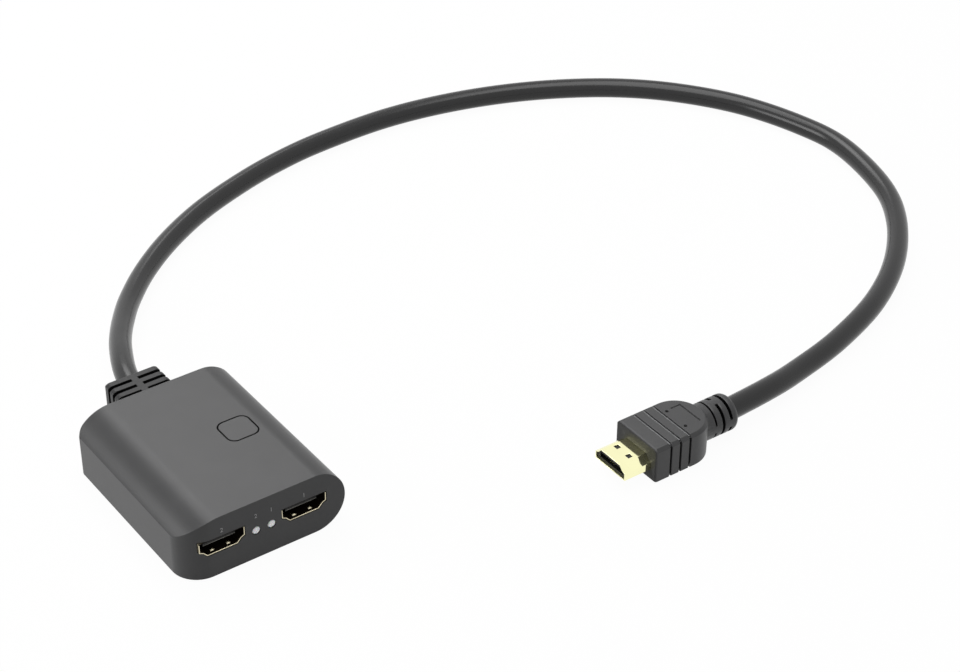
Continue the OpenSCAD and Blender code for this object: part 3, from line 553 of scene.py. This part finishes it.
class SWITCHBOX_OT_materials(bpy.types.Operator):
    """Makes the finishes of all pieces"""
    bl_idname = "switchbox.materials"
    bl_label = "Finishes"

    def execute(self, context):
        settings = context.scene.switchbox
        housing, vinyl = settings.housing_colour, settings.vinyl_colour
        gold = settings.gold_colour
        # Name, colour, roughness, specular level, scale and depth of the grain, swing of the tint
        for values in (
            ("housing", housing, 0.35, 0.25, 4500.0, 0.010 * MM),
            ("button", shade(housing, 1.05), 0.35, 0.25, 4500.0, 0.010 * MM),
            ("cable", shade(vinyl, 0.5), 0.22, 0.35, 2500.0, 0.006 * MM),
            ("relief", shade(vinyl, 0.7), 0.42, 0.22, 3000.0),
            ("grip", shade(vinyl, 1.15), 0.4, 0.4, 3000.0, 0.014 * MM),
            # Painted shade: a darker, duller copy of the grip's vinyl for its front face, which
            # gets less light
            ("grip_front", shade(vinyl, 0.8), 0.5, 0.22, 3000.0, 0.014 * MM),
            # Painted highlight: a much lighter copy of the grip's vinyl for the floors and
            # front-facing walls of its top grooves
            ("grip_rib", shade(vinyl, 5.5), 0.4, 0.5, 3000.0, 0.014 * MM),
            # Painted shade: a near-black copy of the vinyl, put in slots, grooves and marks where
            # shade falls
            ("shade", shade(vinyl, 0.15), 0.6, 0.05, 3000.0, 0.012 * MM, 0.15),
            ("insulator", (0.006, 0.006, 0.006), 0.5, 0.3, 6000.0, 0.008 * MM, 0.15),
            ("tongue_lip", (0.17, 0.165, 0.15), 0.5, 0.3, 6000.0, 0.006 * MM, 0.15),
            # Painted shade: near-black brown for the inside of the socket shells and the roof of
            # their mouths, which get little light
            ("socket_inside", (0.005, 0.003, 0.0018), 0.6, 0.08, 6000.0, 0.006 * MM, 0.2),
            ("ink", settings.ink_colour, 0.6, 0.2, 6000.0, 0.004 * MM),
            ("resin", (0.015, 0.015, 0.016), 0.5, 0.4, 6000.0, 0.008 * MM, 0.15),
            ("ceramic", (0.4, 0.28, 0.16), 0.45, 0.5, 4000.0),
            ("wire", (0.5, 0.5, 0.52), 0.4, 0.5, 3000.0),
            ("core", (0.6, 0.6, 0.58), 0.5, 0.5, 3000.0),
        ):
            moulded(*values)
        # Name, darkest and lightest colour, roughness, and how the fine lines are drawn out
        plated("plug_gold", shade(gold, 0.97), gold, 0.06, (0.15, 1.0, 1.0))
        plated("socket_gold", (0.66, 0.6, 0.43), (0.74, 0.67, 0.48), 0.3, (1.0, 0.15, 1.0))
        plated("contact_gold", shade(gold, 0.8), gold, 0.3)
        plated("tin", (0.55, 0.55, 0.57), (0.65, 0.65, 0.67), 0.3)
        plated("screw", (0.2, 0.2, 0.21), (0.28, 0.28, 0.29), 0.35)
        # Name, colour and roughness
        milky("lens", (0.94, 0.95, 0.96), 0.25)
        milky("light", (0.75, 0.73, 0.62), 0.35)
        laminate("board", colour=(0.015, 0.1, 0.04), copper=(0.03, 0.17, 0.07))
        return {"FINISHED"}


class SWITCHBOX_OT_relief(bpy.types.Operator):
    """Makes the slotted strain relief at the rear"""
    bl_idname = "switchbox.relief"
    bl_label = "Strain relief"

    def execute(self, context):
        settings = context.scene.switchbox
        low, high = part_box("strain_relief")
        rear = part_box("top_cover")[1].y

        # Faces deep in a slot get the finish shade: painted shade, not a colour of the vinyl
        def in_slot(face, place):
            share = (place.y - rear) / (high.y - rear)
            wide = (high.x - share * RELIEF_TAPER) - abs(place.x)
            tall = (high.z - low.z) / 2 - abs(place.z - (high.z + low.z) / 2)
            if wide < RELIEF_CORNER and tall < RELIEF_CORNER:
                out = math.hypot(RELIEF_CORNER - wide, RELIEF_CORNER - tall)
                wide = tall = RELIEF_CORNER - out
            return within(share, RELIEF_SLOTS) and min(wide, tall) > RELIEF_SKIN

        mesh = dressed("strain_relief", [(settings.hole_edge, convex)], in_slot)
        finish_piece(
            mesh, "relief_moulding", ("relief", "shade"), "box", "cable_vinyl", "strain_relief")
        return {"FINISHED"}


class SWITCHBOX_OT_plug(bpy.types.Operator):
    """Makes the plug's grip and its plated shell"""
    bl_idname = "switchbox.plug"
    bl_label = "Plug"

    def execute(self, context):
        settings = context.scene.switchbox
        low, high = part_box("plug_grip")
        middle = (low + high) / 2
        size = high - low

        def at_front(edge, place):
            wide = abs(place.y - middle.y) / size.y
            tall = abs(place.z - middle.z) / size.z
            on_face = place.x < low.x + GRIP_FACE
            return edge.is_convex and on_face and max(wide, tall) > GRIP_OUTLINE

        def at_long(edge, place):
            reach = abs(edge.verts[0].co.x - edge.verts[1].co.x)
            lengthwise = reach > ALONG * edge.calc_length() and place.x < low.x + GRIP_LONG
            tall = abs(place.z - middle.z) > size.z / 2 - LONG_UNDER_TOP
            wide = abs(place.y - middle.y) > size.y / 2 - LONG_IN_SIDE
            return edge.is_convex and lengthwise and tall and wide

        def outline(edge, place):
            return at_front(edge, place) or at_long(edge, place)

        def behind_front(edge, place):
            return edge.is_convex and place.x > low.x + GRIP_RIM

        def grip_finish(face, place):
            to_front, to_top = face.normal.x < -ALONG, face.normal.z > ALONG
            # The front face gets painted shade
            if to_front and place.x < low.x + GRIP_FACE:
                return GRIP_FRONT_SHADE
            under_top = high.z - place.z
            in_side = size.y / 2 - abs(place.y - middle.y)
            if place.x < low.x + GRIP_GROOVES:
                # Floors and front-facing walls of the top grooves get a painted highlight
                if (to_front or to_top) and within(under_top, GROOVE_IN_TOP):
                    return GRIP_RIB_HIGHLIGHT
                dark = within(in_side, GROOVE_IN_SIDE) and abs(face.normal.y) > ALONG
            else:
                on_flat = place.x < low.x + GRIP_MARK
                dark = on_flat and within(under_top, MARK_IN_TOP) and to_top
            # Painted shade: side grooves, the marks on the flat and the tail slots get the
            # near-black finish shade
            return GRIP_SHADED if dark or in_tail(place) else 0

        def in_tail(place):
            away = math.hypot(place.y - middle.y, place.z - middle.z)
            return within(place.x, (low.x + GRIP_TAIL, high.x - TAIL_END)) and within(
                away, TAIL_SLOTS)

        mesh = dressed(
            "plug_grip", [(settings.grip_edge, outline), (settings.hole_edge, behind_front)],
            grip_finish)
        finish_piece(
            mesh, "plug_moulding", ("grip", "shade", "grip_front", "grip_rib"), "box",
            "grip_vinyl", "plug_grip")
        mesh = dressed("plug_shell", [(PLUG_SHELL_EDGE, convex)])
        finish_piece(mesh, "plug_sleeve", ("plug_gold",), "box", "gold_plate", "plug_shell")
        return {"FINISHED"}


class SWITCHBOX_OT_cable(bpy.types.Operator):
    """Lays the cable along its route as one round curve"""
    bl_idname = "switchbox.cable"
    bl_label = "Cable"

    def execute(self, context):
        settings = context.scene.switchbox
        points = [(Vector(EXIT_MM) + Vector(p)) * MM for p in ROUTE_MM]
        last = len(points) - 1
        curve = bpy.data.curves.new("cable_jacket", "CURVE")
        curve.dimensions = "3D"
        curve.bevel_depth = settings.cable_diameter / 2
        curve.bevel_resolution = 6
        curve.resolution_u = 12
        curve.use_fill_caps = True
        spline = curve.splines.new("BEZIER")
        spline.bezier_points.add(last)
        for i, knot in enumerate(spline.bezier_points):
            reach = (points[min(i + 1, last)] - points[max(i - 1, 0)]) / 6
            knot.co = points[i]
            knot.handle_left_type = knot.handle_right_type = "FREE"
            knot.handle_left = points[i] - reach
            knot.handle_right = points[i] + reach
        curve.materials.append(finish("cable"))
        cable = bpy.data.objects.new("cable_jacket", curve)
        context.scene.collection.objects.link(cable)
        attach(cable, "box")
        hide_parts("cable")
        return {"FINISHED"}


class SWITCHBOX_OT_housing(bpy.types.Operator):
    """Makes the top and bottom covers with soft edges"""
    bl_idname = "switchbox.housing"
    bl_label = "Housing"

    def execute(self, context):
        settings = context.scene.switchbox
        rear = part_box("top_cover")[1].y - COVER_REAR

        def at_rear(edge, place):
            shoulder = place.x < COVER_LEFT and place.z > COVER_CREASE
            over = place.z > COVER_TOP or place.x > COVER_RIGHT or shoulder
            rise = abs(edge.verts[0].co.z - edge.verts[1].co.z)
            upright = rise > ALONG * edge.calc_length()
            return edge.is_convex and place.y > rear and over and not upright

        def at_rim(edge, place):
            return edge.is_convex and place.y < rear

        for node, name in (("top_cover", "cover_top"), ("bottom_cover", "cover_bottom")):
            mesh = dressed(node, [(settings.housing_edge, at_rear), (settings.hole_edge, at_rim)])
            finish_piece(mesh, name, ("housing",), "box", "housing_plastic", node)
        return {"FINISHED"}


class SWITCHBOX_OT_button(bpy.types.Operator):
    """Makes the select button"""
    bl_idname = "switchbox.button"
    bl_label = "Button"

    def execute(self, context):
        settings = context.scene.switchbox
        mesh = dressed("select_button", [(settings.hole_edge, convex)])
        finish_piece(
            mesh, "button_cap", ("button",), "button", "button_plastic", "select_button")
        return {"FINISHED"}


class SWITCHBOX_OT_dome(bpy.types.Operator):
    """Makes the metal dome of the push switch, in one shape with a mesh of its own; the real dome
    flattens as the button goes down
    """
    bl_idname = "switchbox.dome"
    bl_label = "Switch dome"

    def execute(self, context):
        mesh = dressed("switch_dome", [])
        piece = finish_piece(
            mesh, "switch_spring", ("tin",), "box", "terminal_metal", "switch_dome")
        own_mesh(piece)
        return {"FINISHED"}


class SWITCHBOX_OT_sockets(bpy.types.Operator):
    """Makes the plated shells and the tongues of the two sockets"""
    bl_idname = "switchbox.sockets"
    bl_label = "Sockets"

    def execute(self, context):
        for number in (1, 2):
            self.sleeve(number)
            self.tongue(number)
        return {"FINISHED"}

    def sleeve(self, number):
        """The shell, gold at the rim and on its springs, with painted shade inside and under its
        mouth's roof.
        """
        node = f"socket_{number}_shell"
        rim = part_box(node)[0].y
        low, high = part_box(f"socket_{number}_block")
        middle = (low + high) / 2
        floor = high.z - MOUTH_HEIGHT

        def at_rim(edge, place):
            return edge.is_convex and place.y < rim + FRONT_REACH

        # Faces deep inside the shell and a strip under the roof of its mouth get painted shade
        def inside(face, place):
            turned = abs(face.normal.y) < 0.5
            sunk = place.y > rim + RIM_DEPTH and turned
            near = abs(place.x - middle.x) < SPRING_HALF
            spring = within(place.z - floor, SPRING_HEIGHTS) and near
            to_middle = middle - place
            inward = to_middle.x * face.normal.x + to_middle.z * face.normal.z > 0
            roof = place.z > high.z - ROOF_STRIP and place.y < rim + RIM_DEPTH
            return roof or (sunk and inward and not spring)

        mesh = dressed(node, [(RIM_EDGE, at_rim)], inside, high.z - ROOF_CUT)
        finish_piece(
            mesh, f"socket_{number}_sleeve", ("socket_gold", "socket_inside"), "box",
            "gold_plate", node)

    def tongue(self, number):
        """The insulator, with a painted highlight: a paler band along the lower edge of its
        tongue.
        """
        node = f"socket_{number}_block"
        low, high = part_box(node)
        middle = (low + high) / 2
        front = low.y + FRONT_REACH
        level = min(v.co.z for v in NODES[node].data.vertices if v.co.y < front) + TONGUE_LIP

        def at_tip(edge, place):
            return edge.is_convex and place.y < front

        # Faces in a band along the lower front edge of the tongue get a painted highlight
        def lower_lip(face, place):
            on_face = place.y < low.y + TONGUE_FACE and abs(place.x - middle.x) < TONGUE_HALF
            return on_face and place.z < level

        mesh = dressed(node, [(TONGUE_EDGE, at_tip)], lower_lip, level)
        finish_piece(
            mesh, f"socket_{number}_tongue", ("insulator", "tongue_lip"), "box",
            "black_plastic", node)


class SWITCHBOX_OT_lights(bpy.types.Operator):
    """Makes the two light guides with a slightly domed front"""
    bl_idname = "switchbox.lights"
    bl_label = "Lights"

    def execute(self, context):
        for number in (1, 2):
            node = f"light_lens_{number}"
            low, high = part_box(node)
            middle = (low + high) / 2
            collar = (high.x - low.x) / 2
            radius = collar - GUIDE_COLLAR
            depth = high.y - low.y
            step = depth - GUIDE_FLANGE
            turns = [math.radians(angle) for angle in range(15, 91, 15)]
            dome = [(radius * math.sin(t), GUIDE_CROWN * (1 - math.cos(t))) for t in turns]
            profile = [
                (0, 0), *dome, (radius, step), (collar, step), (collar, depth), (0, depth)]
            mesh = spun(profile, (middle.x, low.y, middle.z), (0, 1, 0))
            finish_piece(mesh, f"light_guide_{number}", ("lens",), "box", "lens_plastic", node)
        return {"FINISHED"}


class SWITCHBOX_OT_numbers(bpy.types.Operator):
    """Prints plain numbers over the lights and the sockets"""
    bl_idname = "switchbox.numbers"
    bl_label = "Numbers"

    def execute(self, context):
        settings = context.scene.switchbox
        for number in (1, 2):
            self.figure(
                context, f"light_number_{number}", number, f"light_lens_{number}",
                LIGHT_NUMBER_LEVEL, settings.light_number)
            self.figure(
                context, f"socket_number_{number}", number, f"socket_{number}_shell",
                SOCKET_NUMBER_LEVEL, settings.socket_number)
        return {"FINISHED"}

    def figure(self, context, name, number, under, level, height):
        """A number on the front, over the middle of a CAD node."""
        low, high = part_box(under)
        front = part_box("top_cover")[0].y
        text = bpy.data.curves.new(name, "FONT")
        text.body = str(number)
        text.align_x = "CENTER"
        text.size = height / FIGURE_SHARE
        text.extrude = INK_DEPTH
        flat = bpy.data.objects.new(name + "_text", text)
        context.scene.collection.objects.link(flat)
        context.view_layer.update()
        shown = flat.evaluated_get(context.evaluated_depsgraph_get())
        mesh = bpy.data.meshes.new_from_object(shown)
        bpy.data.objects.remove(flat)
        bpy.data.curves.remove(text)
        place = Matrix.Translation(((low.x + high.x) / 2, front - INK_DEPTH, level))
        mesh.transform(place @ Matrix.Rotation(math.pi / 2, 4, "X"))
        finish_piece(mesh, name, ("ink",), "box", "lens_plastic")


class SWITCHBOX_OT_inside(bpy.types.Operator):
    """Paints the CAD pieces that keep their shape"""
    bl_idname = "switchbox.inside"
    bl_label = "Inside"

    def execute(self, context):
        paint("insulator", "plug_block", "switch_base", "switch_plunger")
        paint("contact_gold", "socket_1_contacts", "socket_2_contacts", "plug_contacts")
        paint("board", "circuit_board")
        paint("tin", "switch_plate", "switch_terminals", "clock_crystal")
        paint("resin", "switch_chip", "power_regulator", "resistors")
        paint("ceramic", "capacitors")
        paint("screw", "housing_screws")
        paint("light", "light_sources")
        paint("wire", "cable_wires")
        paint("core", "plug_core")
        return {"FINISHED"}


PIECES = (
    SWITCHBOX_OT_stage, SWITCHBOX_OT_materials, SWITCHBOX_OT_relief, SWITCHBOX_OT_plug,
    SWITCHBOX_OT_cable, SWITCHBOX_OT_housing, SWITCHBOX_OT_button, SWITCHBOX_OT_dome,
    SWITCHBOX_OT_sockets, SWITCHBOX_OT_lights, SWITCHBOX_OT_numbers, SWITCHBOX_OT_inside,
)


class SWITCHBOX_PT_pieces(bpy.types.Panel):
    """Lists the sizes, the colours and the pieces"""
    bl_idname = "SWITCHBOX_PT_pieces"
    bl_label = "Switch Box"
    bl_space_type = "VIEW_3D"
    bl_region_type = "UI"
    bl_category = "Switch Box"

    def draw(self, context):
        for group in (context.scene.switchbox, context.scene.switchbox_stage):
            for name in group.__annotations__:
                self.layout.prop(group, name)
        for piece in PIECES:
            self.layout.operator(piece.bl_idname)


CLASSES = (SwitchBoxSettings, SwitchBoxStage, *PIECES, SWITCHBOX_PT_pieces)


def register():
    for item in CLASSES:
        bpy.utils.register_class(item)
    bpy.types.Scene.switchbox = PointerProperty(type=SwitchBoxSettings)
    bpy.types.Scene.switchbox_stage = PointerProperty(type=SwitchBoxStage)


def unregister():
    del bpy.types.Scene.switchbox_stage
    del bpy.types.Scene.switchbox
    for item in reversed(CLASSES):
        bpy.utils.unregister_class(item)


def main():
    register()
    bpy.ops.switchbox.stage()
    bpy.ops.switchbox.materials()
    bpy.ops.switchbox.relief()
    bpy.ops.switchbox.plug()
    bpy.ops.switchbox.cable()
    bpy.ops.switchbox.housing()
    bpy.ops.switchbox.button()
    bpy.ops.switchbox.dome()
    bpy.ops.switchbox.sockets()
    bpy.ops.switchbox.lights()
    bpy.ops.switchbox.numbers()
    bpy.ops.switchbox.inside()
    bpy.context.view_layer.update()


if __name__ == "__main__":
    main()
